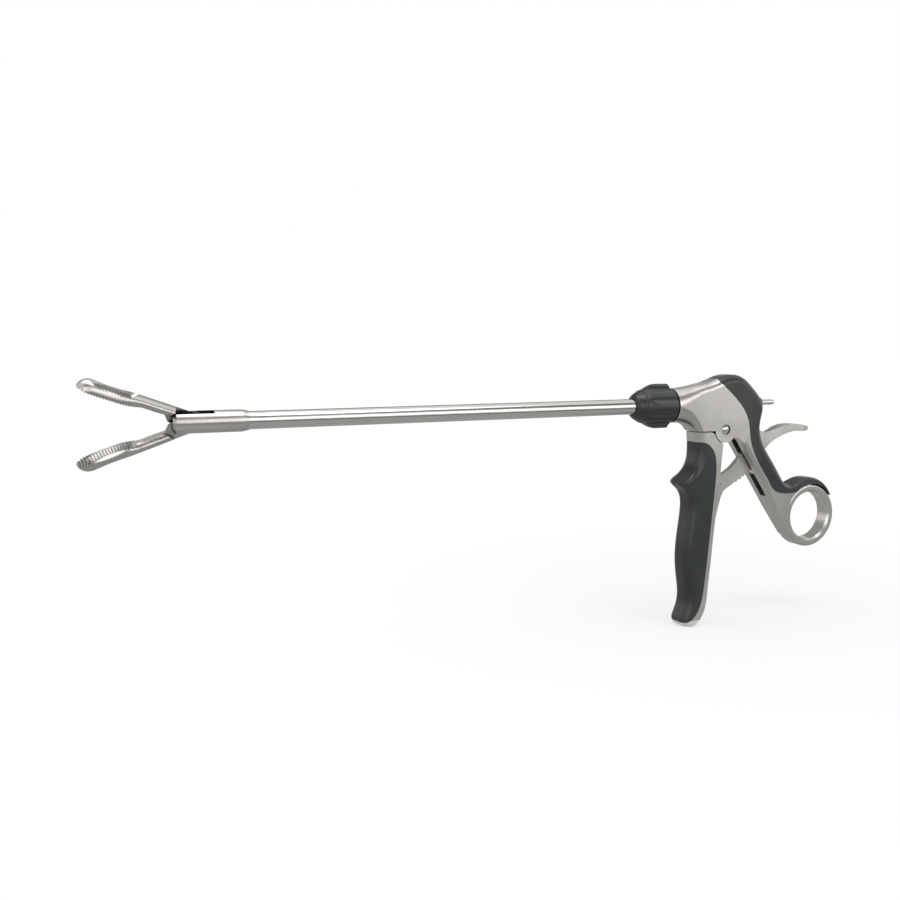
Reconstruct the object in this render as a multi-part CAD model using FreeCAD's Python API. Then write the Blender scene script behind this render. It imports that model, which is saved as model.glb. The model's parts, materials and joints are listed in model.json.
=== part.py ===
import FreeCAD, Part
import math
import os

# Laparoscopic grasping forceps with a ring handle, a ratchet, a rotation knob and a rear plug pin.
# Millimetres. The origin is on the shaft's axis at the knob's nose. +X runs back to the handle,
# +Z up, and the handle's flat sides face -Y and +Y. The jaws rest open and the handle rests open.
os.makedirs("parts", exist_ok=True)

# Shaft, front to back
tube_r = 4.15            # outside of the long tube
tube_wall = 1.4
spigot_step = 0.4        # the tube's two ends are turned down by this much to seat in their sockets
sleeve_r = 5.0           # front sleeve, the widest part that passes the trocar
sleeve_front_x = -242.5
sleeve_back_x = -209.0
sleeve_taper = 3.0       # length of the cone behind the sleeve
fork_depth = 18.0        # depth of the sleeve's open fork
fork_half = 1.6          # half of the fork's gap
rod_r = 1.5
guide_r = 2.5            # bore that guides the yoke's shank in the sleeve
rod_end_x = 46.0         # the rod reaches back to its ball
tube_seat_x = 1.0        # the tube's full diameter ends just inside the knob
tube_end_x = 14.0
seat_len = 5.0           # how far the tube enters the sleeve
running = 0.05           # radial clearance of every running fit
air = 0.3                # clearance between faces that only pass each other

# Jaws
jaw_pivot_x = -235.7
jaw_len = 49.5           # pivot to tip
jaw_step = 8.0           # pivot to the shoulder where the round jaw becomes a flat tang
jaw_open = 22.0          # degrees each jaw stands open at rest
jaw_gap = 0.15           # half of the gap between the closed faces
jaw_pin_r = 1.1
tang_in = 0.65           # inner face of a tang, measured from the middle plane
tang_out = 1.5
window_half = 3.3        # half width of the oval window through a jaw
window_len = 17.6
window_mid = 35.4        # window's middle, measured from the pivot
rim_rise = 2.6           # height of the sloped, toothed wall round the window
rim_width = 1.2          # how far that wall slopes outwards
flare_from = 2.8         # from this height outwards the window widens at 45 degrees
head_from = 33.0         # from here forward the jaw is half of a full round
bar_half = 3.6           # half width of the bar behind the head
bar_relief = 0.6         # the bars stay this far off the closing plane
bar_top = 4.95           # height of the bar's back over the closing plane
tip_len = 5.8            # length of the jaw's rounded tip
tooth_pitch = 1.25
tooth_depth = 0.55
tooth_from = 25.6
cam_near = 4.4           # pivot to drive pin with the jaws closed
drive_pin_r = 0.7
shaft_roll = 23.0        # degrees the shaft is turned about its axis at rest

# Rotation knob and neck
knob_front_x = -2.5
knob_back_x = 21.8
knob_r = 9.2
lobe_r = 12.0
lobe_count = 4
neck_x = 22.3            # front face of the handle's neck
neck_r = 9.3
hub_r = 6.2              # hub inside the knob
hub_bore = 2.1
seal_r = 2.6
journal_r = 4.6          # hub where it turns in the neck
hub_end_x = 38.0
bush_wall = 1.35
ring_x = 35.6            # retaining ring behind the neck bush
ring_w = 1.2

# Handle
body_half = 7.5          # half thickness of the body and the grips
edge_r = 4.4             # rounding of the handle's outer edges
front_r = 2.0            # rounding of the arm's front edges
grip_round = 5.0         # rounding of the front grip's edges
core_half = 4.3          # half thickness of the lever's core in the pad
blend_x = 42.0           # from here back the body is a flat plate
blend_z = 11.65          # height of the plate's back line there
blend_step = 0.04        # the neck stands proud of the plate by this much
arm_head = (68.5, -23.3)  # where the arm leaves the body, in X and Z
pivot_x = 55.0           # main pivot
pivot_z = -13.9
boss_r = 7.2
pivot_pin_r = 2.4
pivot_bush_wall = 1.1
tongue_half = 3.0        # half thickness of the lever's tongue between the cheeks
cheek_gap = 0.3          # side clearance of the tongue
grip_travel = 16.0       # degrees the front grip closes
joint_gap = 0.6          # dark line between the body and the front grip
ball_r = 2.4
ring_cx = 121.5          # thumb ring
ring_cz = -67.2
ring_out_r = 18.5
ring_in_r = 14.0
ring_half = 4.75
ring_edge = 1.5
seam = 0.25              # groove between metal and plastic

# Ratchet
ratchet_half = 1.5
ratchet_slot_half = 2.25
flex_x = 46.5            # cross pin at the root of the ratchet's leaf
flex_z = -71.0
flex_pin_r = 1.0
tooth_tip_r = 33.6       # ratchet tooth tips, measured from the main pivot
tooth_height = 1.0
tooth_first = -40.0      # angle of the tooth that faces the catch at rest
ratchet_teeth = 6
teeth_per_travel = 3
catch_pin_r = 0.8
catch_pin_half = 5.2     # half length of the catch's cross pin
paddle_half = 3.6        # half width of the thumb paddle

# Plug pin at the back
plug_r = 1.6
plug_core_r = 1.2        # the pin inside its collar
plug_end_x = 95.0
collar_r = 3.0
collar_x = 76.0
collar_end_x = 84.8

rod_travel = abs(pivot_z) * math.tan(math.radians(grip_travel))
cam_far = cam_near + rod_travel
ratchet_step = grip_travel / teeth_per_travel
tooth_root_r = tooth_tip_r - tooth_height
tube_bore = tube_r - tube_wall
spigot_r = tube_r - spigot_step
fork_end_x = sleeve_front_x + fork_depth
tube_front_x = sleeve_back_x - seat_len
shank_r = guide_r - running
blade_half = tang_in - 0.1
drive_x = jaw_pivot_x + cam_far
shank_front_x = jaw_pivot_x + 15.5
shank_back_x = shank_front_x + 6.5
bush_r = journal_r + bush_wall
bush_front_x = neck_x + 2.3
bush_back_x = ring_x - 0.1
AXIS_X = FreeCAD.Vector(1, 0, 0)
AXIS_Y = FreeCAD.Vector(0, 1, 0)


def vec(x, y, z):
    return FreeCAD.Vector(x, y, z)


def rod_x(radius, x0, x1, y=0.0, z=0.0):
    return Part.makeCylinder(radius, x1 - x0, vec(x0, y, z), AXIS_X)


def rod_y(radius, y0, y1, x, z):
    return Part.makeCylinder(radius, y1 - y0, vec(x, y0, z), AXIS_Y)


def cone_x(r0, r1, x0, x1):
    return Part.makeCone(r0, r1, x1 - x0, vec(x0, 0, 0), AXIS_X)


def block(x0, x1, y0, y1, z0, z1):
    return Part.makeBox(x1 - x0, y1 - y0, z1 - z0, vec(x0, y0, z0))


def line(p, q):
    return Part.LineSegment(vec(p[0], 0, p[1]), vec(q[0], 0, q[1])).toShape()


def curve(points):
    spline = Part.BSplineCurve()
    spline.interpolate([vec(x, 0, z) for x, z in points])
    return spline.toShape()


def arc(p, q, r):
    return Part.Arc(vec(p[0], 0, p[1]), vec(q[0], 0, q[1]), vec(r[0], 0, r[1])).toShape()


def slab(edges, y0, y1):
    """A plate with the outline of the edges in the XZ plane, from y0 to y1."""
    face = Part.Face(Part.Wire(edges))
    face.translate(vec(0, y0, 0))
    return face.extrude(vec(0, y1 - y0, 0))


def polygon(points, y0, y1):
    return slab([line(p, q) for p, q in zip(points, points[1:] + points[:1])], y0, y1)


def from_pivot(radius, degrees):
    angle = math.radians(degrees)
    return (pivot_x + radius * math.cos(angle), pivot_z + radius * math.sin(angle))


def on_ring(radius, degrees):
    angle = math.radians(degrees)
    return (ring_cx + radius * math.cos(angle), ring_cz + radius * math.sin(angle))


def rolled(shape):
    shape.rotate(vec(0, 0, 0), AXIS_X, shaft_roll)
    return shape


def save(name, shape):
    solids = shape.Solids
    shape = solids[0] if len(solids) == 1 else Part.makeCompound(solids)
    shape.exportStep("parts/" + name + ".step")
    print(name, len(solids), "valid" if shape.isValid() else "INVALID", round(shape.Volume, 1))


# Jaws

def cam_point(share, side):
    """A point on the edge of the cam slot; side is +1, 0 or -1 for outer edge, middle, inner edge."""
    angle = math.radians(jaw_open) * share
    radius = cam_near + rod_travel * share
    slope = math.atan2(rod_travel, math.radians(jaw_open) * radius)
    normal = angle - slope
    width = (drive_pin_r + running) * side
    return (radius * math.cos(angle) + width * math.cos(normal),
            radius * math.sin(angle) + width * math.sin(normal))


def cam_slot(y0, y1):
    """A slot whose radius grows evenly with the angle, so that the jaw follows the rod evenly."""
    shares = [0, 0.25, 0.5, 0.75, 1]
    outer = [cam_point(s, 1) for s in shares]
    inner = [cam_point(s, -1) for s in reversed(shares)]
    path = slab([curve(outer), line(outer[-1], inner[0]), curve(inner), line(inner[-1], outer[0])],
                y0, y1)
    width = drive_pin_r + running
    near = rod_y(width, y0, y1, *cam_point(0, 0))
    far = rod_y(width, y0, y1, *cam_point(1, 0))
    return path.fuse([near, far])


def plan_oval(length, half, z):
    """An oval wire round the window, at height z."""
    shape = Part.Ellipse(vec(-window_mid, 0, z), length / 2, half).toShape()
    return Part.Wire([shape])


def oval(u, half, low, high):
    """A closed oval across the jaw at a distance u from the pivot."""
    middle = (high + low) / 2
    rise = (high - low) / 2
    points = []
    for index in range(12):
        angle = math.radians(30 * index)
        points.append(vec(-u, half * math.cos(angle), middle + rise * math.sin(angle)))
    spline = Part.BSplineCurve()
    spline.interpolate(points, PeriodicFlag=True)
    return Part.Wire([spline.toShape()])


def tooth_groove(u, y0, y1, z0, z1):
    """One V groove across the rim, from y0 at height z0 to y1 at height z1."""
    half = 0.42 * tooth_pitch
    z = z0 - 0.5
    points = [vec(-u - half, y0, z), vec(-u - half, y0, z0), vec(-u, y0, z0 + tooth_depth),
              vec(-u + half, y0, z0), vec(-u + half, y0, z), vec(-u - half, y0, z)]
    return Part.Face(Part.makePolygon(points)).extrude(vec(0, y1 - y0, z1 - z0))


def closed_jaw():
    """The upper jaw about its pivot, closed: the tip points along -X and the face is at the bottom."""
    w = bar_half
    sections = [(jaw_step, w, 0.3, bar_top), (14, w, 0.3, bar_top), (19, w, 0.3, bar_top),
                (22.5, w + 0.05, 0.1, bar_top), (26, w + 0.5, -1.2, bar_top),
                (29.5, w + 1.05, -3.2, bar_top), (head_from, sleeve_r - 0.03, -bar_top, bar_top)]
    bar = Part.makeLoft([oval(*values) for values in sections], True, False)
    barrel = rod_x(sleeve_r, -(jaw_len - tip_len), -head_from)
    stretch = FreeCAD.Matrix()
    stretch.A11 = tip_len / sleeve_r
    tip = Part.makeSphere(sleeve_r).transformGeometry(stretch)
    tip.translate(vec(-(jaw_len - tip_len), 0, 0))
    head = barrel.fuse([tip, bar]).common(block(-jaw_len - 1, -jaw_step, -6, 6, jaw_gap, 6))
    low_oval = plan_oval(window_len + 2 * rim_width, window_half + rim_width, jaw_gap)
    top_oval = plan_oval(window_len, window_half, rim_rise)
    slope = Part.makeLoft([low_oval, top_oval], True, True)
    through = Part.Face(plan_oval(window_len, window_half, 0)).extrude(vec(0, 0, 2 * sleeve_r))
    depth = sleeve_r + 0.2 - flare_from
    flare_oval = plan_oval(window_len, window_half, flare_from)
    outer_oval = plan_oval(window_len + 2 * depth, window_half + depth, flare_from + depth)
    flare = Part.makeLoft([flare_oval, outer_oval], True, True)
    relief = polygon([(-jaw_step + 1, -1), (-jaw_step + 1, bar_relief), (-20, bar_relief),
                      (-24.5, jaw_gap - 0.1), (-24.5, -1)], -2 * sleeve_r, 2 * sleeve_r)
    corner = polygon([(-11.2, -1), (-11.2, jaw_gap), (-jaw_step, 3.6), (-jaw_step + 1, 3.6),
                      (-jaw_step + 1, -1)], -2 * sleeve_r, 2 * sleeve_r)
    head = head.cut([through, slope, flare, relief, corner])
    steep = (rim_rise - jaw_gap) / rim_width
    grooves = []
    for index in range(int((jaw_len - tooth_from) / tooth_pitch)):
        u = tooth_from + index * tooth_pitch
        grooves.append(tooth_groove(u, -2 * sleeve_r, 2 * sleeve_r, jaw_gap, jaw_gap))
        share = (u - window_mid) / (window_len / 2 + rim_width)
        if abs(share) > 0.9:
            continue
        lip = (window_half + rim_width) * math.sqrt(1 - share ** 2)
        inner = lip - rim_width - 0.2
        for side in (-1, 1):
            rise = (lip - inner) * steep
            grooves.append(tooth_groove(u, side * lip, side * inner, jaw_gap, jaw_gap + rise))
    head = head.cut(grooves)
    outline = [(-12.5, 4.4), (-jaw_step, sleeve_r), (2.0, sleeve_r), (9.2, sleeve_r - 0.1), (10.4, 3.6),
               (9.9, 1.6), (6.0, -2.2), (2.0, -3.6), (-3.0, -3.6), (-8.1, -2.9), (-11, jaw_gap),
               (-12.5, 0.9)]
    tang = polygon(outline, tang_in, tang_out)
    tang = tang.common(rod_x(sleeve_r - 0.05, -20, 20))
    tang = tang.cut([rod_y(jaw_pin_r + running, 0, sleeve_r, 0, 0), cam_slot(0, sleeve_r)])
    return head.fuse(tang)


def placed_jaw(upper):
    jaw = closed_jaw()
    jaw.rotate(vec(0, 0, 0), AXIS_Y, jaw_open)
    if not upper:
        jaw.rotate(vec(0, 0, 0), AXIS_X, 180)
    jaw.translate(vec(jaw_pivot_x, 0, 0))
    return rolled(jaw)


def jaw_pivot_pin():
    pin = rod_y(jaw_pin_r, -sleeve_r, sleeve_r, jaw_pivot_x, 0)
    return rolled(pin.common(rod_x(sleeve_r - 0.05, jaw_pivot_x - 3, jaw_pivot_x + 3)))


# Shaft

def jaw_sleeve():
    front = rod_x(sleeve_r, sleeve_front_x, sleeve_back_x - sleeve_taper)
    back = cone_x(sleeve_r, tube_r + 0.25, sleeve_back_x - sleeve_taper, sleeve_back_x)
    sleeve = front.fuse(back)
    fork = block(sleeve_front_x - 1, fork_end_x, -fork_half, fork_half, -2 * sleeve_r, 2 * sleeve_r)
    guide = rod_x(guide_r, fork_end_x - 2, tube_front_x + 1)
    socket = rod_x(spigot_r, tube_front_x, sleeve_back_x + 1)
    hole = rod_y(jaw_pin_r, -2 * sleeve_r, 2 * sleeve_r, jaw_pivot_x, 0)
    nose = Part.makeSphere(sleeve_r + 1.2, vec(sleeve_front_x + sleeve_r, 0, 0))
    keep = nose.fuse(rod_x(2 * sleeve_r, sleeve_front_x + sleeve_r, sleeve_back_x + 1))
    return rolled(sleeve.cut([fork, guide, socket, hole]).common(keep).removeSplitter())


def outer_tube():
    tube = rod_x(tube_r, sleeve_back_x, tube_seat_x)
    tube = tube.fuse([rod_x(spigot_r, tube_front_x, sleeve_back_x),
                      rod_x(spigot_r, tube_seat_x, tube_end_x)])
    return tube.cut(rod_x(tube_bore, tube_front_x - 1, tube_end_x + 1)).removeSplitter()


def rod_yoke():
    blade = block(drive_x - 1.5, shank_front_x + 0.5, -blade_half, blade_half, -1.9, 1.9)
    shank = rod_x(shank_r, shank_front_x, shank_back_x)
    yoke = blade.fuse(shank).cut(rod_y(drive_pin_r, -sleeve_r, sleeve_r, drive_x, 0))
    return rolled(yoke)


def drive_pin():
    return rolled(rod_y(drive_pin_r, -tang_out, tang_out, drive_x, 0))


def push_rod():
    return rod_x(rod_r, shank_back_x, rod_end_x)


def rod_ball():
    stem = rod_x(rod_r - 0.3, rod_end_x, pivot_x)
    return stem.fuse(Part.makeSphere(ball_r, vec(pivot_x, 0, 0)))


def rod_seal():
    """Soft sleeve round the rod, inside the hub."""
    seal = rod_x(seal_r, tube_end_x + 1, tube_end_x + 5)
    return seal.cut(rod_x(rod_r + running, tube_end_x, tube_end_x + 6))


# Knob

def ring_edges(radius):
    """The knob's outline across its axis: lobes joined by hollow flanks to a round body."""
    edges = []
    pitch = 360.0 / lobe_count
    top = 9.0
    foot = 25.0

    def at(r, degrees):
        angle = math.radians(degrees)
        return vec(0, r * math.cos(angle), r * math.sin(angle))

    for index in range(lobe_count):
        middle = index * pitch
        edges.append(Part.Arc(at(radius, middle - top), at(radius, middle),
                              at(radius, middle + top)).toShape())
        edges.append(Part.Arc(at(radius, middle + top), at((radius + 2 * knob_r) / 3, middle + 14),
                              at(knob_r, middle + foot)).toShape())
        edges.append(Part.Arc(at(knob_r, middle + foot), at(knob_r, middle + pitch / 2),
                              at(knob_r, middle + pitch - foot)).toShape())
        edges.append(Part.Arc(at(knob_r, middle + pitch - foot),
                              at((radius + 2 * knob_r) / 3, middle + pitch - 14),
                              at(radius, middle + pitch - top)).toShape())
    return edges


def rotation_knob():
    face = Part.Face(Part.Wire(ring_edges(lobe_r + 0.5)))
    face.translate(vec(knob_front_x, 0, 0))
    bar = face.extrude(vec(knob_back_x - knob_front_x, 0, 0))
    nose_r = tube_r + 0.6
    profile = [curve([(knob_front_x, nose_r), (-1.6, 6.2), (0.2, 7.5), (2.0, 8.2)]),
               line((2.0, 8.2), (2.5, 8.8)),
               line((2.5, 8.8), (4.0, 9.1)),
               curve([(4.0, 9.1), (7.0, 10.6), (9.5, 11.6), (11.5, lobe_r)]),
               line((11.5, lobe_r), (18.4, lobe_r)),
               arc((18.4, lobe_r), (18.8, lobe_r - 0.1), (19.1, lobe_r - 0.4)),
               line((19.1, lobe_r - 0.4), (20.4, knob_r)),
               line((20.4, knob_r), (knob_back_x - 0.5, knob_r)),
               arc((knob_back_x - 0.5, knob_r), (knob_back_x - 0.15, knob_r - 0.15),
                   (knob_back_x, knob_r - 0.5)),
               line((knob_back_x, knob_r - 0.5), (knob_back_x, 0)),
               line((knob_back_x, 0), (knob_front_x, 0)),
               line((knob_front_x, 0), (knob_front_x, nose_r))]
    envelope = Part.Face(Part.Wire(profile)).revolve(vec(0, 0, 0), AXIS_X, 360)
    knob = bar.common(envelope)
    knob = knob.cut([rod_x(tube_r + 0.35, knob_front_x - 1, 3), rod_x(hub_r, 3, knob_back_x + 1)])
    return knob.removeSplitter()


def knob_hub():
    hub = rod_x(hub_r, 3, knob_back_x - 0.3).fuse(rod_x(journal_r, 3, hub_end_x))
    hub = hub.cut([rod_x(spigot_r, 2, tube_end_x), rod_x(seal_r, tube_end_x, tube_end_x + 5),
                   rod_x(hub_bore, tube_end_x, hub_end_x + 1)])
    groove = rod_x(journal_r + 1, ring_x, ring_x + ring_w).cut(
        rod_x(journal_r - 0.7, ring_x - 1, ring_x + ring_w + 1))
    return hub.cut(groove)


def retaining_ring():
    ring = rod_x(journal_r + 1.1, ring_x, ring_x + ring_w)
    ring = ring.cut(rod_x(journal_r - 0.7, ring_x - 1, ring_x + ring_w + 1))
    return ring.cut(block(ring_x - 1, ring_x + 2, -1.6, 1.6, -2 * journal_r, 0))


def neck_bush():
    bush = rod_x(bush_r, bush_front_x, bush_back_x)
    return bush.cut(rod_x(journal_r + running, bush_front_x - 1, bush_back_x + 1))


def neck_seal():
    """O-ring in front of the bush."""
    section = 0.6
    return Part.makeTorus(journal_r + running + section, section,
                          vec(bush_front_x - section, 0, 0), AXIS_X)


# Handle body

def top_line():
    """The handle's back line, from the plate's front over the hump and down the arm past the ring."""
    return curve([(blend_x, blend_z), (47, 12.95), (53, 14.95), (60.5, 16.3), (68.5, 14.5),
                  (75, 9.3), (80.7, 3.3), (82.9, -1.2), (82.4, -6.5), (81.2, -13.5), (83.6, -22.2),
                  (90.8, -32.8), (97.5, -42.2), (100.9, -46.4), (105, -48.4), (109.7, -47.2),
                  (116, -45.1), (124, -45.1), (131, -48.4), (136.8, -55.4), (141.5, -65)])


arm_foot = on_ring(ring_out_r, 216.3)


def is_front_edge(edge):
    box = edge.BoundBox
    return box.YLength < 1e-6 and 40 < box.XLength < 60 and box.ZMax < -20 and box.ZLength > 50


def upright_section(x, half, bottom, top, corner):
    """A rounded rectangle across the X axis."""
    k = corner * (1 - math.sqrt(0.5))
    corners = [(half, top, -1, -1), (-half, top, 1, -1), (-half, bottom, 1, 1), (half, bottom, -1, 1)]
    points = []
    for y, z, sy, sz in corners:
        along = vec(x, y + sy * corner, z)
        middle = vec(x, y + sy * k, z + sz * k)
        across = vec(x, y, z + sz * corner)
        points.append((across, middle, along) if sy * sz > 0 else (along, middle, across))
    edges = []
    for index, (start, middle, end) in enumerate(points):
        following = points[(index + 1) % 4][0]
        edges.append(Part.Arc(start, middle, end).toShape())
        edges.append(Part.LineSegment(end, following).toShape())
    return Part.Wire(edges)


def neck():
    """The round neck, its sides flattening into the plate and its underside bending down."""
    r = neck_r
    sections = [(neck_x, r, -r, r, r - 0.05), (26, 9.1, -9.5, 9.55, 8.6), (29.5, 8.7, -10.1, 9.9, 7.7),
                (33, 8.2, -11.7, 10.3, 6.7), (36, 7.85, -14.3, 10.75, 5.7),
                (39, 7.6, -18.2, 11.2, 4.9),
                (blend_x, body_half + blend_step, -22, blend_z + blend_step, edge_r)]
    form = Part.makeLoft([upright_section(*values) for values in sections], True, False)
    return form.cut(block(20, 50, -20, 20, -40, pivot_z - 0.5))


def whole_handle():
    """The outer form of the fixed handle, metal and plastic together, running on below the ring."""
    under_z = pivot_z - 0.5
    run = 1.25
    arm_end = (arm_head[0] + run * (arm_foot[0] - arm_head[0]),
               arm_head[1] + run * (arm_foot[1] - arm_head[1]))
    edges = [top_line(),
             line((141.5, -65), (141.5, arm_end[1])),
             line((141.5, arm_end[1]), arm_end),
             line(arm_end, arm_head),
             arc(arm_head, (66.2, -20.2), (62.4, -18.6)),
             line((62.4, -18.6), (59.6, -18.6)),
             line((59.6, -18.6), (59.6, under_z)),
             line((59.6, under_z), (blend_x, under_z)),
             line((blend_x, under_z), (blend_x, blend_z))]
    form = slab(edges, -body_half, body_half)
    back_edges = [e for e in form.Edges if e.BoundBox.YLength < 1e-6 and e.BoundBox.ZMax > 16]
    form = form.makeFillet(edge_r, back_edges)
    front_edges = [e for e in form.Edges if is_front_edge(e)]
    form = form.makeFillet(front_r, front_edges)
    return form.fuse(neck())


def pad_region(offset):
    """Everything behind the seam between the metal and the plastic back pad."""
    seam_line = [(50.6 + offset, 12.4), (53.8 + offset, 9.7), (58.9 + offset, 5.6),
                 (64 + offset, 0.8), (68 + offset, -4), (70.6 + offset, -9.2),
                 (71.9 + offset, -15), (73 + offset, -21.3), (76.2 + offset, -29),
                 (82.8 + offset, -39.1), (88 + offset, -45.7), (92.3 + offset, -49.9),
                 (97 + offset, -52), (102.5 + offset, -52.7)]
    ring_start = on_ring(ring_out_r + offset, 128)
    ring_stop = on_ring(ring_out_r + offset, 36)
    edges = [line((50.6 + offset, 30), (50.6 + offset, 12.4)),
             curve(seam_line + [ring_start]),
             arc(ring_start, on_ring(ring_out_r + offset, 80), ring_stop),
             line(ring_stop, (160, -44)),
             line((160, -44), (160, 30)),
             line((160, 30), (50.6 + offset, 30))]
    return slab(edges, -30, 30)


def side_taper(start_x, end_x, end_half):
    """Two wedges that thin the arm towards the ring."""
    wedges = []
    for side in (-1, 1):
        points = [vec(start_x, side * body_half, -150), vec(end_x, side * end_half, -150),
                  vec(170, side * end_half, -150), vec(170, side * 30, -150),
                  vec(start_x, side * 30, -150), vec(start_x, side * body_half, -150)]
        wedges.append(Part.Face(Part.makePolygon(points)).extrude(vec(0, 0, 200)))
    return wedges


def tongue_space():
    """Room between the cheeks for the lever's tongue at both ends of its travel."""
    half = tongue_half + cheek_gap
    points = [(37.6, 4.2), (63, 6.5), (63, -30), (52, -30), (43.5, -22), (36, -20), (36, -13.9),
              (44.5, -13.9), (43.5, -8), (42.5, -4.2), (37.6, -4.2)]
    return polygon(points, -half, half)


def bar_space():
    """Slot through the arm and the pad for the ratchet bar over its whole travel."""
    points = [(57, -26), (57, -12), (70, -12.5), (75.5, -9.5), (80, -5.6), (92, -3.4), (99, -10),
              (93.5, -28.6), (86.6, -38.0), (82.6, -43.0), (70, -43.0)]
    return polygon(points, -ratchet_slot_half, ratchet_slot_half)


def front_groove():
    """The slot goes on down the arm's front face as a groove."""
    deep = 4.5
    points = [(62, -28), (62 + deep + 6, -28), (89.9 + deep, -51), (89.9, -54.2), (84, -54.2)]
    return polygon(points, -ratchet_slot_half, ratchet_slot_half)


def thumb_ring():
    half = ring_half
    e = ring_edge
    c = 1.1
    section = [(ring_in_r, -half + c), (ring_in_r + c, -half), (ring_out_r - e, -half),
               (ring_out_r, -half + e), (ring_out_r, half - e), (ring_out_r - e, half),
               (ring_in_r + c, half), (ring_in_r, half - c)]
    corner = 0.3 * e
    edges = []
    points = [vec(ring_cx + r, y, ring_cz) for r, y in section]
    for index, p in enumerate(points):
        q = points[(index + 1) % len(points)]
        if index in (2, 4):
            out = 1 if index == 4 else -1
            middle = vec(ring_cx + ring_out_r - corner, out * (half - corner), ring_cz)
            edges.append(Part.Arc(p, middle, q).toShape())
        else:
            edges.append(Part.LineSegment(p, q).toShape())
    return Part.Face(Part.Wire(edges)).revolve(vec(ring_cx, 0, ring_cz), AXIS_Y, 360)


def neck_bores():
    return [rod_x(bush_r, neck_x + 1, ring_x - 0.1), rod_x(journal_r + 1.4, ring_x - 0.3, 38.6),
            rod_x(journal_r + 0.2, neck_x - 1, neck_x + 2)]


def arm_region():
    """The metal in front of the ring's middle and above the spoke to the arm's foot."""
    reach = (ring_cx + 2 * (arm_foot[0] - ring_cx), ring_cz + 2 * (arm_foot[1] - ring_cz))
    points = [(0, 40), (ring_cx, 40), (ring_cx, ring_cz), reach, (0, reach[1])]
    return polygon(points, -30, 30)


def handle_body():
    body = whole_handle().cut(pad_region(0)).common(arm_region())
    body = body.cut(side_taper(86, 107, ring_half - 0.15))
    body = body.cut(rod_y(ring_out_r - 1.5, -20, 20, ring_cx, ring_cz))
    boss = rod_y(boss_r, -body_half, body_half, pivot_x, pivot_z)
    body = body.fuse([boss, thumb_ring()])
    cuts = [tongue_space(), bar_space(), front_groove()] + neck_bores()
    cuts.append(rod_y(pivot_pin_r, -20, 20, pivot_x, pivot_z))
    for side in (-1, 1):
        y0 = side * body_half if side < 0 else body_half - 0.8
        cuts.append(rod_y(pivot_pin_r + 0.5, y0, y0 + 0.8, pivot_x, pivot_z))
    cuts.append(rod_x(plug_core_r, 62, 100))
    cuts.append(rod_x(collar_r, collar_x, 100))
    cuts.append(rod_y(catch_pin_r, -catch_pin_half, catch_pin_half, *catch_pin_at))
    cuts.append(catch_block(0.0))
    return body.cut(cuts)


catch_pin_at = from_pivot(tooth_tip_r + 2.2, tooth_first - 3.2)


def back_pad():
    pad = whole_handle().common(pad_region(seam))
    pad = pad.cut(side_taper(94, 114, 5.9))
    pad = pad.cut([bar_space(), catch_block(-air), rod_x(collar_r, collar_x, 100),
                   rod_x(plug_core_r, 60, 100)])
    pad = pad.cut(rod_y(catch_pin_r + air, -catch_pin_half - air, catch_pin_half + air, *catch_pin_at))
    return pad


def plug_pin():
    pin = rod_x(plug_core_r, 68, collar_end_x).fuse(rod_x(plug_r, collar_end_x, plug_end_x - plug_r))
    return pin.fuse(Part.makeSphere(plug_r, vec(plug_end_x - plug_r, 0, 0)))


def plug_collar():
    collar = rod_x(collar_r, collar_x, collar_end_x - 0.5)
    collar = collar.fuse(cone_x(collar_r, collar_r - 0.5, collar_end_x - 0.5, collar_end_x))
    return collar.cut(rod_x(plug_core_r, 60, 100))


def pivot_screw():
    end = 3.5
    head = Part.makeSphere(4.0, vec(pivot_x, -body_half - 0.4 + 4.0, pivot_z))
    pin = rod_y(pivot_pin_r, -body_half - 1, end, pivot_x, pivot_z)
    front = pin.common(head.fuse(rod_y(20, -body_half + 1.2, 20, pivot_x, pivot_z)))
    return front.fuse(rod_y(1.4, end - 1, body_half - 1.2, pivot_x, pivot_z))


def pivot_nut():
    head = Part.makeSphere(4.0, vec(pivot_x, body_half + 0.4 - 4.0, pivot_z))
    nut = rod_y(pivot_pin_r, 3.5, body_half + 1, pivot_x, pivot_z)
    nut = nut.common(head.fuse(rod_y(20, -20, body_half - 1.2, pivot_x, pivot_z)))
    nut = nut.cut(rod_y(1.4, 0, body_half - 1.2, pivot_x, pivot_z))
    slot = block(pivot_x - 3, pivot_x + 3, body_half - 0.5, body_half + 2, pivot_z - 0.4, pivot_z + 0.4)
    return nut.cut(slot)


# Ratchet

def catch_block(shrink):
    """The hardened catch, a block in the arm's slot with one tooth towards the pivot."""
    half = ratchet_slot_half - shrink
    base = tooth_tip_r + 0.9
    step = 0.25
    points = [from_pivot(tooth_tip_r + step, tooth_first - 0.2),
              from_pivot(base + 0.3, tooth_first - 0.2),
              from_pivot(base + 0.9, tooth_first + 1.6),
              from_pivot(base + 3.4, tooth_first + 1.6),
              from_pivot(base + 3.4, tooth_first - 5.4),
              from_pivot(base, tooth_first - 5.4),
              from_pivot(base, tooth_first - 4.7)]
    return polygon(points, -half, half)


def ratchet_catch():
    return catch_block(0.0).cut(rod_y(catch_pin_r, -10, 10, *catch_pin_at))


def catch_pin():
    return rod_y(catch_pin_r, -catch_pin_half, catch_pin_half, *catch_pin_at)


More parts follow.
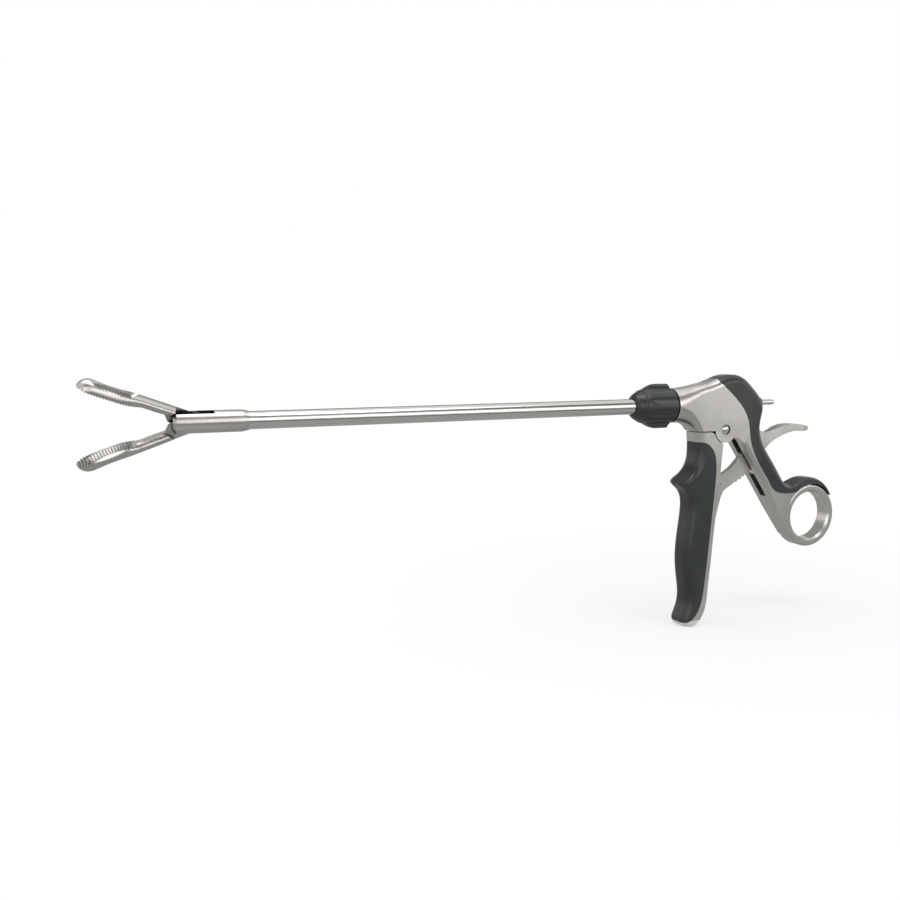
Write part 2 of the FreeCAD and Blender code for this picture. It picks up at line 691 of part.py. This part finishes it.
def paddle_plan():
    """The tail's outline from above: it widens for the thumb and ends round."""
    side = [(87, ratchet_half), (92, 2.1), (98, 3.3), (104, paddle_half), (115, paddle_half), (119, 2.9)]
    near = Part.BSplineCurve()
    near.interpolate([vec(x, -y, -35) for x, y in side])
    far = Part.BSplineCurve()
    far.interpolate([vec(x, y, -35) for x, y in reversed(side)])
    end = Part.Arc(vec(119, -2.9, -35), vec(120.8, 0, -35), vec(119, 2.9, -35))
    close = Part.LineSegment(vec(87, ratchet_half, -35), vec(87, -ratchet_half, -35))
    wire = Part.Wire([near.toShape(), end.toShape(), far.toShape(), close.toShape()])
    return Part.Face(wire).extrude(vec(0, 0, 40))


def tooth_edges():
    """Saw teeth on the bar's lower edge; they let the grip close and hold it against opening."""
    points = []
    for index in range(ratchet_teeth + 1):
        angle = tooth_first - index * ratchet_step
        points.append(from_pivot(tooth_tip_r, angle))
        if index < ratchet_teeth:
            points.append(from_pivot(tooth_root_r, angle - 0.1))
    return points


def ratchet_bar():
    teeth = tooth_edges()
    last = teeth[-1]
    lower_tail = [(120, -16.3), (114.5, -17.3), (108.5, -17.0), (103.3, -17.9), (97.8, -19.8),
                  (93.3, -22.4), (89.0, -26.3), from_pivot(tooth_tip_r + 1.1, tooth_first + 8.6),
                  teeth[0]]
    upper = [(52.2, -41.0), (56.8, -40.2), (62.0, -37.9), (67.6, -33.6), (72.4, -28.4),
             (76.6, -22.6), (79.6, -17.3), (82.4, -15.2), (87.2, -17.0), (91.6, -16.4),
             (98.3, -14.1), (106, -12.9), (113.5, -13.4), (119.3, -14.8)]
    front_leaf = [(58.2, -44.6), (56.9, -48.2), (55.5, -53), (53.4, -60), (50.6, -67),
                  (flex_x, flex_z + 1.8)]
    back_leaf = [(flex_x, flex_z - 1.8), (52.6, -68.8), (55.3, -61), (57.0, -55), (58.5, -51),
                 (60.2, -48.6)]
    edges = [curve(upper),
             arc(upper[-1], (120.2, -15.6), lower_tail[0]),
             curve(lower_tail)]
    edges += [line(p, q) for p, q in zip(teeth, teeth[1:])]
    edges += [line(last, back_leaf[-1]),
              curve(list(reversed(back_leaf))),
              line(back_leaf[0], front_leaf[-1]),
              curve(list(reversed(front_leaf))),
              line(front_leaf[0], (52.2, -44.2)),
              line((52.2, -44.2), upper[0])]
    bar = slab(edges, -ratchet_half, ratchet_half)
    bar = bar.fuse(rod_y(2.1, -ratchet_half, ratchet_half, flex_x, flex_z))
    paddle = slab(edges, -paddle_half, paddle_half).common(paddle_plan())
    bar = bar.fuse(paddle).removeSplitter()
    grooves = []
    for index in range(13):
        x = 100.5 + 1.4 * index
        z = -13.0 - 0.011 * (x - 108) ** 2
        grooves.append(polygon([(x - 0.6, z + 0.9), (x, z - 0.4), (x + 0.6, z + 0.9)],
                               -paddle_half - 1, paddle_half + 1))
    bar = bar.cut(grooves)
    return bar.cut(rod_y(flex_pin_r + running, -10, 10, flex_x, flex_z))


# Front grip

grip_front = [(10, -14.2), (36.8, -14.2), (37.3, -19), (37.6, -25), (36.7, -31.5), (34.4, -35.8),
              (30.6, -39.2), (27.6, -41.2), (26.8, -42.5), (27.6, -44.0), (30.9, -47.0),
              (33.3, -51.2), (33.8, -57.5), (32.7, -67.5), (31.3, -79), (31.2, -88), (32.6, -99),
              (33.4, -106), (32.6, -112.3), (30.5, -117.6), (29.9, -120.4), (31.0, -122.6),
              (34.0, -123.2)]


def grip_outline(y, back):
    """The grip's front outline at one height of its thickness, set back by the corner's rounding."""
    points = [vec(x + back, y, z) for x, z in grip_front[1:]]
    spline = Part.BSplineCurve()
    spline.interpolate(points)
    rear_x = 64.0
    low = vec(rear_x, y, points[-1].z)
    high = vec(rear_x, y, points[0].z)
    return Part.Wire([spline.toShape(), Part.LineSegment(points[-1], low).toShape(),
                      Part.LineSegment(low, high).toShape(), Part.LineSegment(high, points[0]).toShape()])


def grip_blank():
    """The grip before its back is shaped: a plate with rounded front corners."""
    middle = body_half - grip_round
    face = Part.Face(grip_outline(-middle, 0))
    form = face.extrude(vec(0, 2 * middle, 0))
    for side in (-1, 1):
        wires = []
        for degrees in (0, 22, 44, 63, 77):
            angle = math.radians(degrees)
            back = grip_round * (1 - math.cos(angle))
            wires.append(grip_outline(side * (middle + grip_round * math.sin(angle)), back))
        last = grip_round * (1 - math.cos(math.radians(77)))
        wires.append(grip_outline(side * body_half, last + 1.0))
        form = form.fuse(Part.makeLoft(wires, True, False))
    return form.removeSplitter()


def whole_grip():
    """The outer form of the moving front grip, metal and plastic together."""
    form = grip_blank()
    top_z = pivot_z - 0.5 - joint_gap
    back = [(53.4, -22.0), (52.6, -31), (51.9, -40), (50.6, -52), (49.5, -62), (48.1, -76),
            (47, -88), (45.7, -100), (44.8, -109), (43.2, -115.6), (40.2, -120.4), (36, -123.1)]
    edges = [line((10, top_z), (45.2, top_z)),
             arc((45.2, top_z), (47.0, -15.9), from_pivot(boss_r + joint_gap, 199)),
             arc(from_pivot(boss_r + joint_gap, 199), from_pivot(boss_r + joint_gap, 225),
                 from_pivot(boss_r + joint_gap, 252)),
             line(from_pivot(boss_r + joint_gap, 252), back[0]),
             curve(back),
             line(back[-1], (10, -123.1)),
             line((10, -123.1), (10, top_z))]
    return form.common(slab(edges, -20, 20))


def grip_pad_region(offset):
    """Everything in front of the seam between the grip's plastic and its metal."""
    seam_line = [(39.8, -20.4 - offset), (44.8 - offset, -22.8 - offset), (48 - offset, -27.4),
                 (49.1 - offset, -34.5), (48.2 - offset, -50), (46.6 - offset, -66),
                 (44.9 - offset, -83), (43.1 - offset, -99), (41.2 - offset, -110),
                 (37.6 - offset, -117.2), (31.5, -121.2 + offset)]
    edges = [line((10, -20.4 - offset), seam_line[0]), curve(seam_line),
             line(seam_line[-1], (10, -121.2 + offset)),
             line((10, -121.2 + offset), (10, -20.4 - offset))]
    return slab(edges, -30, 30)


def grip_core():
    """The metal bar that carries the pad, hidden inside it."""
    points = [(41, -18), (50, -18), (50, -30), (49, -60), (46, -90), (43, -110), (38, -119),
              (36, -119), (38.5, -105), (38.6, -85), (40.5, -60), (42, -40), (42.5, -30)]
    return polygon(points, -core_half, core_half)


def tongue():
    """The lever's flat tongue: it turns on the main pivot and its fork drives the rod's ball."""
    edges = [line((41, -24), (44, -16.5)),
             curve([(44, -16.5), (47.2, -9.5), (49.2, -2.5), (49.6, 3.4)]),
             line((49.6, 3.4), (60.4, 3.4)),
             curve([(60.4, 3.4), (60.9, -3), (62.0, -10), (61.4, -17), (57.5, -21.2)]),
             line((57.5, -21.2), (53.0, -24.5)),
             line((53.0, -24.5), (41, -24))]
    form = slab(edges, -tongue_half, tongue_half)
    width = ball_r + running
    slot = block(pivot_x - width, pivot_x + width, -20, 20, -3.3, 20)
    neck = block(pivot_x - 20, pivot_x, -rod_r - 0.2, rod_r + 0.2, -3.3, 20)
    return form.cut([slot, neck])


def leaf_slot():
    points = [(43.8, -66.2), (52.5, -64), (52.5, -74), (43.8, -75)]
    return polygon(points, -ratchet_half - air, ratchet_half + air)


def grip_lever():
    lever = whole_grip().cut(grip_pad_region(0))
    core = grip_core().common(whole_grip())
    lever = lever.fuse([core, tongue()])
    bush_hole = rod_y(pivot_pin_r + running + pivot_bush_wall, -20, 20, pivot_x, pivot_z)
    flex_hole = rod_y(flex_pin_r, -core_half, core_half, flex_x, flex_z)
    return lever.cut([bush_hole, leaf_slot(), flex_hole])


def grip_pad():
    pad = whole_grip().common(grip_pad_region(seam))
    return pad.cut([grip_core(), leaf_slot()])


def pivot_bush():
    bush = rod_y(pivot_pin_r + running + pivot_bush_wall, -tongue_half - cheek_gap + running,
                 tongue_half + cheek_gap - running, pivot_x, pivot_z)
    return bush.cut(rod_y(pivot_pin_r + running, -20, 20, pivot_x, pivot_z))


def leaf_pin():
    return rod_y(flex_pin_r, -core_half, core_half, flex_x, flex_z)


save("upper_jaw", placed_jaw(True))
save("lower_jaw", placed_jaw(False))
save("jaw_pivot_pin", jaw_pivot_pin())
save("jaw_sleeve", jaw_sleeve())
save("outer_tube", outer_tube())
save("rod_yoke", rod_yoke())
save("drive_pin", drive_pin())
save("push_rod", push_rod())
save("rod_ball", rod_ball())
save("rod_seal", rod_seal())
save("rotation_knob", rotation_knob())
save("knob_hub", knob_hub())
save("retaining_ring", retaining_ring())
save("neck_bush", neck_bush())
save("neck_seal", neck_seal())
save("handle_body", handle_body())
save("back_pad", back_pad())
save("plug_pin", plug_pin())
save("plug_collar", plug_collar())
save("pivot_screw", pivot_screw())
save("pivot_nut", pivot_nut())
save("ratchet_catch", ratchet_catch())
save("catch_pin", catch_pin())
save("ratchet_bar", ratchet_bar())
save("grip_lever", grip_lever())
save("grip_pad", grip_pad())
save("pivot_bush", pivot_bush())
save("leaf_pin", leaf_pin())
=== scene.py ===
import bpy
import json
import math
from mathutils import Matrix, Vector


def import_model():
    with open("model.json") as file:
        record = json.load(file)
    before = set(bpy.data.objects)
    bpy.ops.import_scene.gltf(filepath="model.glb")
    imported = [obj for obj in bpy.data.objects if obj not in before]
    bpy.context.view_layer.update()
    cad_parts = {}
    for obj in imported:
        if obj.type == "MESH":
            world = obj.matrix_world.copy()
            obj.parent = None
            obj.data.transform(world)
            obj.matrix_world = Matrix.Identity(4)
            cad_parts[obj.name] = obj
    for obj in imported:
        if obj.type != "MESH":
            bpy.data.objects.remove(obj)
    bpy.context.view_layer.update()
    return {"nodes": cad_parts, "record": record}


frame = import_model()
nodes = frame["nodes"]
FLOOR_Z = -0.1238
SHADOW_AT = (0.09, 0.03, FLOOR_Z)
CARD_Z = -0.12


# Materials

class Shader:
    """A material's node tree with short calls."""

    def __init__(self, name):
        self.material = bpy.data.materials.new(name)
        self.material.use_nodes = True
        self.tree = self.material.node_tree
        self.tree.nodes.clear()
        self.output = self.tree.nodes.new("ShaderNodeOutputMaterial")
        self.place = self.node("TexCoord").outputs["Object"]

    def node(self, kind, **settings):
        made = self.tree.nodes.new("ShaderNode" + kind)
        for key, value in settings.items():
            setattr(made, key, value)
        return made

    def link(self, source, target):
        self.tree.links.new(source, target)

    def noise(self, scale, stretch=(1, 1, 1), detail=3.0, roughness=0.55):
        mapping = self.node("Mapping")
        mapping.inputs["Scale"].default_value = stretch
        self.link(self.place, mapping.inputs["Vector"])
        noise = self.node("TexNoise")
        noise.inputs["Scale"].default_value = scale
        noise.inputs["Detail"].default_value = detail
        noise.inputs["Roughness"].default_value = roughness
        self.link(mapping.outputs["Vector"], noise.inputs["Vector"])
        return noise.outputs["Fac"]

    def ramp(self, source, low, high):
        ramp = self.node("ValToRGB")
        ends = ramp.color_ramp.elements
        ends[0].position = 0.3
        ends[1].position = 0.7
        ends[0].color = (*low, 1)
        ends[1].color = (*high, 1)
        self.link(source, ramp.inputs["Fac"])
        return ramp.outputs["Color"]

    def level(self, source, low, high, start=0.0, end=1.0):
        spread = self.node("MapRange")
        spread.inputs["From Min"].default_value = start
        spread.inputs["From Max"].default_value = end
        spread.inputs["To Min"].default_value = low
        spread.inputs["To Max"].default_value = high
        self.link(source, spread.inputs["Value"])
        return spread.outputs["Result"]

    def mix(self, factor, a, b, blend="MIX"):
        mix = self.node("Mix", data_type="RGBA", blend_type=blend)
        # Sockets 0, 6 and 7 are the factor and the two colours of an RGBA mix; output 2 is its colour.
        for value, socket in ((factor, mix.inputs[0]), (a, mix.inputs[6]), (b, mix.inputs[7])):
            if hasattr(value, "links"):
                self.link(value, socket)
            else:
                socket.default_value = value
        return mix.outputs[2]

    def bump(self, height, distance, strength):
        bump = self.node("Bump")
        bump.inputs["Distance"].default_value = distance
        bump.inputs["Strength"].default_value = strength
        self.link(height, bump.inputs["Height"])
        return bump.outputs["Normal"]

    def edges(self, end):
        """1 on worn convex edges, 0 on flats."""
        pointed = self.node("NewGeometry").outputs["Pointiness"]
        return self.level(pointed, 0.0, 1.0, 0.53, end)

    def painted_groove_shade(self, colour, darkest, reach, clear):
        """The colour with painted shade: darker in grooves, seams and gaps within reach, in metres."""
        corner = self.node("AmbientOcclusion")
        corner.samples = 6
        corner.inputs["Distance"].default_value = reach
        shade = self.level(corner.outputs["AO"], darkest, 1.0, 0.1, clear)
        return self.mix(1.0, colour, shade, "MULTIPLY")

    def finish(self, colour, roughness, normal, **constants):
        bsdf = self.node("BsdfPrincipled")
        self.link(colour, bsdf.inputs["Base Color"])
        self.link(roughness, bsdf.inputs["Roughness"])
        self.link(normal, bsdf.inputs["Normal"])
        for key, value in constants.items():
            bsdf.inputs[key.replace("_", " ")].default_value = value
        self.link(bsdf.outputs["BSDF"], self.output.inputs["Surface"])
        return self.material


def steel(name, dark, light, rough, brush=(1, 1, 1), brush_depth=0.05, reach=0.0025, clear=0.62):
    """Ground or blasted steel: cloudy colour, fine brush marks, brighter worn edges, painted shade
    darkening the grooves.
    """
    s = Shader(name)
    clouds = s.noise(90, detail=4)
    fine = s.noise(2600, brush, detail=2)
    worn = tuple(min(1.0, channel * 1.18) for channel in light) + (1,)
    colour = s.mix(s.edges(0.62), s.ramp(clouds, dark, light), worn)
    # Painted shade: ambient occlusion darkens the colour in grooves, seams and gaps.
    colour = s.painted_groove_shade(colour, 0.12, reach, clear)
    smudge = s.noise(38, detail=5)
    roughness = s.level(smudge, rough - 0.04, rough + 0.04, 0.3, 0.7)
    normal = s.bump(fine, 0.00004, brush_depth)
    return s.finish(colour, roughness, normal, Metallic=1.0)


def plastic(name, dark, light, rough, grain=0.25):
    """Moulded plastic: a fine spark-eroded grain, rubbed edges and slightly shinier handled places."""
    s = Shader(name)
    clouds = s.noise(60, detail=4)
    worn = tuple(channel * 1.9 for channel in light) + (1,)
    colour = s.mix(s.edges(0.64), s.ramp(clouds, dark, light), worn)
    roughness = s.level(s.noise(25, detail=3), rough - 0.05, rough + 0.06, 0.3, 0.7)
    normal = s.bump(s.noise(5200, detail=2), 0.00005, grain)
    return s.finish(colour, roughness, normal, IOR=1.5)


# The jaw steel's painted shade reaches furthest, darkening the jaw windows, teeth and gaps.
jaw_steel = steel("jaw_steel", (0.47, 0.455, 0.435), (0.56, 0.545, 0.525), 0.29, brush_depth=0.1,
                  reach=0.007, clear=0.97)
tube_steel = steel("tube_steel", (0.56, 0.55, 0.53), (0.61, 0.60, 0.58), 0.17, brush=(0.05, 1, 1))
handle_steel = steel("handle_steel", (0.53, 0.515, 0.49), (0.57, 0.555, 0.53), 0.30, brush_depth=0.06)
bright_steel = steel("bright_steel", (0.60, 0.59, 0.57), (0.66, 0.65, 0.63), 0.18)
grip_plastic = plastic("grip_plastic", (0.020, 0.0235, 0.0255), (0.028, 0.032, 0.0345), 0.27)
knob_plastic = plastic("knob_plastic", (0.016, 0.019, 0.021), (0.023, 0.027, 0.029), 0.27)
insulation = plastic("insulation", (0.02, 0.022, 0.024), (0.03, 0.032, 0.034), 0.5)
seal_rubber = plastic("seal_rubber", (0.012, 0.012, 0.012), (0.02, 0.02, 0.02), 0.7, grain=0.1)

finishes = {"jaw_steel": jaw_steel, "tube_steel": tube_steel, "handle_steel": handle_steel,
            "bright_steel": bright_steel, "grip_plastic": grip_plastic,
            "knob_plastic": knob_plastic, "insulation": insulation, "seal_rubber": seal_rubber}

for part in frame["record"]["subparts"]:
    node = nodes[part["node"]]
    node.data.materials.clear()
    node.data.materials.append(finishes[part["material_slot"]])


# Studio

def floor():
    """A floor that keeps the shadow near the grip and fades to plain white away from it."""
    mesh = bpy.data.meshes.new("floor")
    size = 6.0
    mesh.from_pydata([(-size, -size, FLOOR_Z), (size, -size, FLOOR_Z), (size, size, FLOOR_Z),
                      (-size, size, FLOOR_Z)], [], [(0, 1, 2, 3)])
    obj = bpy.data.objects.new("floor", mesh)
    bpy.context.scene.collection.objects.link(obj)
    s = Shader("floor")
    path = s.node("LightPath")
    seen = path.outputs["Is Camera Ray"]
    for ray in ("Is Glossy Ray", "Is Transmission Ray"):
        either = s.node("Math", operation="MAXIMUM")
        s.link(seen, either.inputs[0])
        s.link(path.outputs[ray], either.inputs[1])
        seen = either.outputs[0]
    lit = s.node("BsdfDiffuse")
    lit.inputs["Color"].default_value = (0.9, 0.9, 0.9, 1)
    white = s.node("Emission")
    white.inputs["Strength"].default_value = 1.02
    share = s.node("MixShader")
    apart = s.node("VectorMath", operation="DISTANCE")
    apart.inputs[1].default_value = SHADOW_AT
    s.link(s.place, apart.inputs[0])
    s.link(s.level(apart.outputs["Value"], 0.62, 1.0, 0.04, 0.3), share.inputs[0])
    s.link(lit.outputs[0], share.inputs[1])
    s.link(white.outputs[0], share.inputs[2])
    mix = s.node("MixShader")
    s.link(seen, mix.inputs[0])
    s.link(lit.outputs[0], mix.inputs[1])
    s.link(share.outputs[0], mix.inputs[2])
    s.link(mix.outputs[0], s.output.inputs["Surface"])
    mesh.materials.append(s.material)


def world():
    """White to the camera and to mirror rays, a plain grey level to the rest."""
    made = bpy.data.worlds.new("studio")
    bpy.context.scene.world = made
    made.use_nodes = True
    tree = made.node_tree
    tree.nodes.clear()
    path = tree.nodes.new("ShaderNodeLightPath")
    seen = path.outputs["Is Camera Ray"]
    for ray in ("Is Glossy Ray", "Is Transmission Ray"):
        either = tree.nodes.new("ShaderNodeMath")
        either.operation = "MAXIMUM"
        tree.links.new(seen, either.inputs[0])
        tree.links.new(path.outputs[ray], either.inputs[1])
        seen = either.outputs[0]
    around = tree.nodes.new("ShaderNodeBackground")
    around.inputs["Color"].default_value = (0.6, 0.6, 0.6, 1)
    white = tree.nodes.new("ShaderNodeBackground")
    white.inputs["Color"].default_value = (1, 1, 1, 1)
    mix = tree.nodes.new("ShaderNodeMixShader")
    out = tree.nodes.new("ShaderNodeOutputWorld")
    tree.links.new(seen, mix.inputs[0])
    tree.links.new(around.outputs[0], mix.inputs[1])
    tree.links.new(white.outputs[0], mix.inputs[2])
    tree.links.new(mix.outputs[0], out.inputs["Surface"])


def card(name, corners, grey):
    """A studio card that only the metal's and the plastic's reflections show."""
    mesh = bpy.data.meshes.new(name)
    mesh.from_pydata(corners, [], [(0, 1, 2, 3)])
    obj = bpy.data.objects.new(name, mesh)
    bpy.context.scene.collection.objects.link(obj)
    s = Shader(name)
    glow = s.node("Emission")
    glow.inputs["Color"].default_value = (grey, grey, grey, 1)
    s.link(glow.outputs[0], s.output.inputs["Surface"])
    mesh.materials.append(s.material)
    obj.visible_camera = False
    obj.visible_diffuse = False
    obj.visible_shadow = False


def softbox(name, place, aim, size, size_y, power):
    lamp = bpy.data.lights.new(name, "AREA")
    lamp.shape = "RECTANGLE"
    lamp.size = size
    lamp.size_y = size_y
    lamp.energy = power
    obj = bpy.data.objects.new(name, lamp)
    obj.location = place
    direction = Vector(aim) - Vector(place)
    obj.rotation_euler = direction.to_track_quat("-Z", "Y").to_euler()
    bpy.context.scene.collection.objects.link(obj)


def camera():
    lens = bpy.data.cameras.new("photo_view")
    lens.lens = 40.0
    lens.sensor_width = 36.0
    lens.clip_start = 0.01
    lens.clip_end = 50.0
    obj = bpy.data.objects.new("photo_view", lens)
    right = Vector((0.9079, -0.4191, 0.0)).normalized()
    forward = Vector((0.4165, 0.9022, -0.1123)).normalized()
    up = right.cross(forward)
    turn = Matrix((right, up, -forward)).transposed()
    obj.matrix_world = Matrix.Translation((-0.314117, -0.443132, 0.037)) @ turn.to_4x4()
    bpy.context.scene.collection.objects.link(obj)
    bpy.context.scene.camera = obj


floor()
world()
softbox("key", (-0.15, -0.12, 0.95), (-0.05, 0, 0), 1.4, 0.55, 5.5)
softbox("front", (0.6, -1.35, 0.34), (-0.05, 0, 0), 1.6, 0.5, 3.2)
card("floor_card", [(-1.2, -0.28, CARD_Z), (1.2, -0.28, CARD_Z), (1.2, 2.4, CARD_Z),
                    (-1.2, 2.4, CARD_Z)], 0.44)
card("front_card", [(-1.2, -0.75, CARD_Z - 0.001), (1.6, -0.75, CARD_Z - 0.001),
                    (1.6, -0.28, CARD_Z - 0.001), (-1.2, -0.28, CARD_Z - 0.001)], 0.16)
card("side_strip", [(-1.1, -0.93, CARD_Z), (-0.57, -1.35, CARD_Z), (-0.57, -1.35, 0.8),
                    (-1.1, -0.93, 0.8)], 2.0)
card("upper_flag", [(-1.4, -1.1, 0.75), (1.8, -1.1, 0.75), (1.8, -0.6, 1.25), (-1.4, -0.6, 1.25)], 0.2)
card("back_flag", [(-1.4, 1.3, 0.5), (1.8, 1.3, 0.5), (1.8, 0.9, 1.2), (-1.4, 0.9, 1.2)], 0.3)
camera()

bpy.context.scene.view_settings.view_transform = "Standard"
